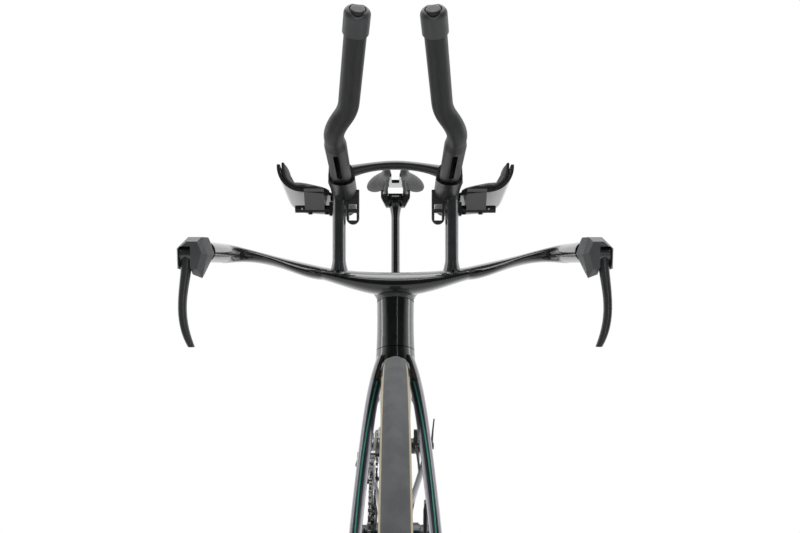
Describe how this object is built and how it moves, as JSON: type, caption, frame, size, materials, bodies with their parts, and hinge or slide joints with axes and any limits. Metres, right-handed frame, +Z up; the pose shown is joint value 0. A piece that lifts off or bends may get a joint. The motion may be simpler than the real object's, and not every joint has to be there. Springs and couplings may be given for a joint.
{
  "type": "time trial bike",
  "caption": "Time trial road bike with deep wheels, disc brakes, a gull-wing base bar and aero extensions with arm pads; steering, wheels, drive, brakes and seat move.",
  "frame": {"origin": "on the ground in the bike's middle plane, midway between the two wheels' contact points", "axes": "+X to the bike's left, -Y forward, +Z up"},
  "size_m": [0.4532, 1.6608, 1.0187],
  "materials": {
    "frame_paint": "gloss",
    "matte_black": "matte",
    "black_plastic": "satin",
    "rim_carbon": "satin",
    "grey_plastic": "satin",
    "grey_rubber": "matte",
    "hose": "satin",
    "pad_foam": "matte",
    "saddle_cover": "matte",
    "dark_alloy": "satin",
    "steel": "satin",
    "tyre": "matte"
  },
  "bodies": {
    "frame_body": {"frame": "frame_paint", "rear_derailleur_mount": "dark_alloy", "seatpost_wedge": "dark_alloy", "bottom_bracket_cups": "dark_alloy", "headset_bearings": "steel", "front_derailleur_body": "dark_alloy", "rear_brake_caliper": "dark_alloy", "rear_brake_hose": "hose", "rear_thru_axle": "dark_alloy", "chain": "steel"},
    "seatpost_body": {"seatpost": "frame_paint", "saddle_clamp": "dark_alloy"},
    "saddle_body": {"saddle_rails": "steel", "saddle_shell": "black_plastic", "saddle_padding": "saddle_cover"},
    "steering_body": {"fork": "frame_paint", "front_brake_caliper": "dark_alloy", "front_brake_hose": "hose", "front_thru_axle": "dark_alloy", "base_bar": "frame_paint", "headset_caps": "frame_paint", "riser_posts": "matte_black", "brake_lever_bodies": "grey_plastic", "extension_clamps": "matte_black", "bridge": "matte_black", "arm_cups": "matte_black", "arm_pads": "pad_foam"},
    "extension_left_body": {"extension_left": "matte_black", "shifter_left": "grey_rubber"},
    "extension_right_body": {"extension_right": "matte_black", "shifter_right": "grey_rubber"},
    "shift_button_left_body": {"shift_button_left": "grey_rubber"},
    "shift_button_right_body": {"shift_button_right": "grey_rubber"},
    "brake_lever_left_body": {"brake_lever_left": "dark_alloy"},
    "brake_lever_right_body": {"brake_lever_right": "dark_alloy"},
    "front_wheel": {"front_tyre": "tyre", "front_rim": "rim_carbon", "front_spokes": "steel", "front_hub": "dark_alloy", "front_rotor": "steel"},
    "rear_wheel": {"rear_tyre": "tyre", "rear_rim": "rim_carbon", "rear_spokes": "steel", "rear_hub": "dark_alloy", "rear_rotor": "steel"},
    "cassette_body": {"cassette": "steel"},
    "crank_body": {"crank_arm_right": "dark_alloy", "crank_arm_left": "dark_alloy", "chainrings": "dark_alloy"},
    "front_pad_inner_body": {"front_pad_inner": "dark_alloy"},
    "front_pad_outer_body": {"front_pad_outer": "dark_alloy"},
    "rear_pad_inner_body": {"rear_pad_inner": "dark_alloy"},
    "rear_pad_outer_body": {"rear_pad_outer": "dark_alloy"},
    "rear_axle_lever_body": {"rear_axle_lever": "dark_alloy"},
    "derailleur_link_body": {"rear_derailleur_link": "dark_alloy"},
    "derailleur_motor_body": {"rear_derailleur_motor": "dark_alloy"},
    "derailleur_cage_body": {"rear_derailleur_cage": "dark_alloy"},
    "guide_pulley_body": {"guide_pulley": "black_plastic"},
    "tension_pulley_body": {"tension_pulley": "black_plastic"},
    "front_cage_body": {"front_derailleur_cage": "dark_alloy"}
  },
  "joints": [
    {"name": "steering", "type": "hinge", "parent": "frame_body", "child": "steering_body", "pos_m": [0, -0.44958, 0.32447], "axis": [0, 0.3007, 0.9537], "range_deg": [-50, 50]},
    {"name": "front_wheel_spin", "type": "hinge", "parent": "steering_body", "child": "front_wheel", "pos_m": [0, -0.4925, 0.338], "axis": [1, 0, 0], "continuous": true},
    {"name": "rear_wheel_spin", "type": "hinge", "parent": "frame_body", "child": "rear_wheel", "pos_m": [0, 0.4925, 0.338], "axis": [1, 0, 0], "continuous": true},
    {"name": "crank_spin", "type": "hinge", "parent": "frame_body", "child": "crank_body", "pos_m": [0, 0.09055, 0.268], "axis": [1, 0, 0], "continuous": true, "deforming": ["chain"]},
    {"name": "cassette_spin", "type": "hinge", "parent": "frame_body", "child": "cassette_body", "pos_m": [0, 0.4925, 0.338], "axis": [1, 0, 0], "continuous": true},
    {"name": "derailleur_shift", "type": "hinge", "parent": "frame_body", "child": "derailleur_link_body", "pos_m": [-0.091, 0.5095, 0.29], "axis": [0, 1, 0], "range_deg": [-20, 25]},
    {"name": "derailleur_level", "type": "hinge", "parent": "derailleur_link_body", "child": "derailleur_motor_body", "pos_m": [-0.083, 0.5095, 0.26], "axis": [0, 1, 0], "range_deg": [-25, 20]},
    {"name": "cage_swing", "type": "hinge", "parent": "derailleur_motor_body", "child": "derailleur_cage_body", "pos_m": [-0.046, 0.5065, 0.254], "axis": [1, 0, 0], "range_deg": [-35, 12], "stiffness_Nm_per_rad": 1},
    {"name": "guide_pulley_spin", "type": "hinge", "parent": "derailleur_cage_body", "child": "guide_pulley_body", "pos_m": [-0.046, 0.5065, 0.254], "axis": [1, 0, 0], "continuous": true},
    {"name": "tension_pulley_spin", "type": "hinge", "parent": "derailleur_cage_body", "child": "tension_pulley_body", "pos_m": [-0.046, 0.49265, 0.19768], "axis": [1, 0, 0], "continuous": true},
    {"name": "front_shift", "type": "slide", "parent": "frame_body", "child": "front_cage_body", "axis": [1, 0, 0], "range_m": [0, 0.007]},
    {"name": "rear_axle_lever_turn", "type": "hinge", "parent": "frame_body", "child": "rear_axle_lever_body", "pos_m": [0.088, 0.4925, 0.338], "axis": [1, 0, 0], "continuous": true},
    {"name": "seatpost_height", "type": "slide", "parent": "frame_body", "child": "seatpost_body", "axis": [0, 0.1908, 0.9816], "range_m": [-0.04, 0.03]},
    {"name": "saddle_setback", "type": "slide", "parent": "seatpost_body", "child": "saddle_body", "axis": [0, 1, 0], "range_m": [-0.015, 0.015]},
    {"name": "extension_left_reach", "type": "slide", "parent": "steering_body", "child": "extension_left_body", "axis": [0, -0.9659, 0.2588], "range_m": [-0.02, 0.02]},
    {"name": "shift_button_left_press", "type": "slide", "parent": "extension_left_body", "child": "shift_button_left_body", "axis": [0.1244, 0.7654, -0.6314], "range_m": [0, 0.0015], "stiffness_N_per_m": 800, "springref_m": -0.001},
    {"name": "brake_lever_left_pull", "type": "hinge", "parent": "steering_body", "child": "brake_lever_left_body", "pos_m": [0.2155, -0.522, 0.78692], "axis": [1, 0, 0], "range_deg": [0, 18], "stiffness_Nm_per_rad": 1, "springref_deg": -8.59},
    {"name": "extension_right_reach", "type": "slide", "parent": "steering_body", "child": "extension_right_body", "axis": [0, -0.9659, 0.2588], "range_m": [-0.02, 0.02]},
    {"name": "shift_button_right_press", "type": "slide", "parent": "extension_right_body", "child": "shift_button_right_body", "axis": [-0.1244, 0.7654, -0.6314], "range_m": [0, 0.0015], "stiffness_N_per_m": 800, "springref_m": -0.001},
    {"name": "brake_lever_right_pull", "type": "hinge", "parent": "steering_body", "child": "brake_lever_right_body", "pos_m": [-0.2155, -0.522, 0.78692], "axis": [1, 0, 0], "range_deg": [0, 18], "stiffness_Nm_per_rad": 1, "springref_deg": -8.59},
    {"name": "front_pad_outer_squeeze", "type": "slide", "parent": "steering_body", "child": "front_pad_outer_body", "axis": [-1, 0, 0], "range_m": [0, 0.0003]},
    {"name": "front_pad_inner_squeeze", "type": "slide", "parent": "steering_body", "child": "front_pad_inner_body", "axis": [1, 0, 0], "range_m": [0, 0.0003]},
    {"name": "rear_pad_outer_squeeze", "type": "slide", "parent": "frame_body", "child": "rear_pad_outer_body", "axis": [-1, 0, 0], "range_m": [0, 0.0003]},
    {"name": "rear_pad_inner_squeeze", "type": "slide", "parent": "frame_body", "child": "rear_pad_inner_body", "axis": [1, 0, 0], "range_m": [0, 0.0003]}
  ],
  "couplings": [
    {"joint": "cassette_spin", "follows": "crank_spin", "ratio": 3.1765},
    {"joint": "guide_pulley_spin", "follows": "crank_spin", "ratio": -4.9091},
    {"joint": "tension_pulley_spin", "follows": "crank_spin", "ratio": 4.9091},
    {"joint": "derailleur_level", "follows": "derailleur_shift", "ratio": -1},
    {"joint": "front_pad_outer_squeeze", "follows": "brake_lever_left_pull", "m_per_rad": 0.00095},
    {"joint": "front_pad_inner_squeeze", "follows": "brake_lever_left_pull", "m_per_rad": 0.00095},
    {"joint": "rear_pad_outer_squeeze", "follows": "brake_lever_right_pull", "m_per_rad": 0.00095},
    {"joint": "rear_pad_inner_squeeze", "follows": "brake_lever_right_pull", "m_per_rad": 0.00095}
  ]
}
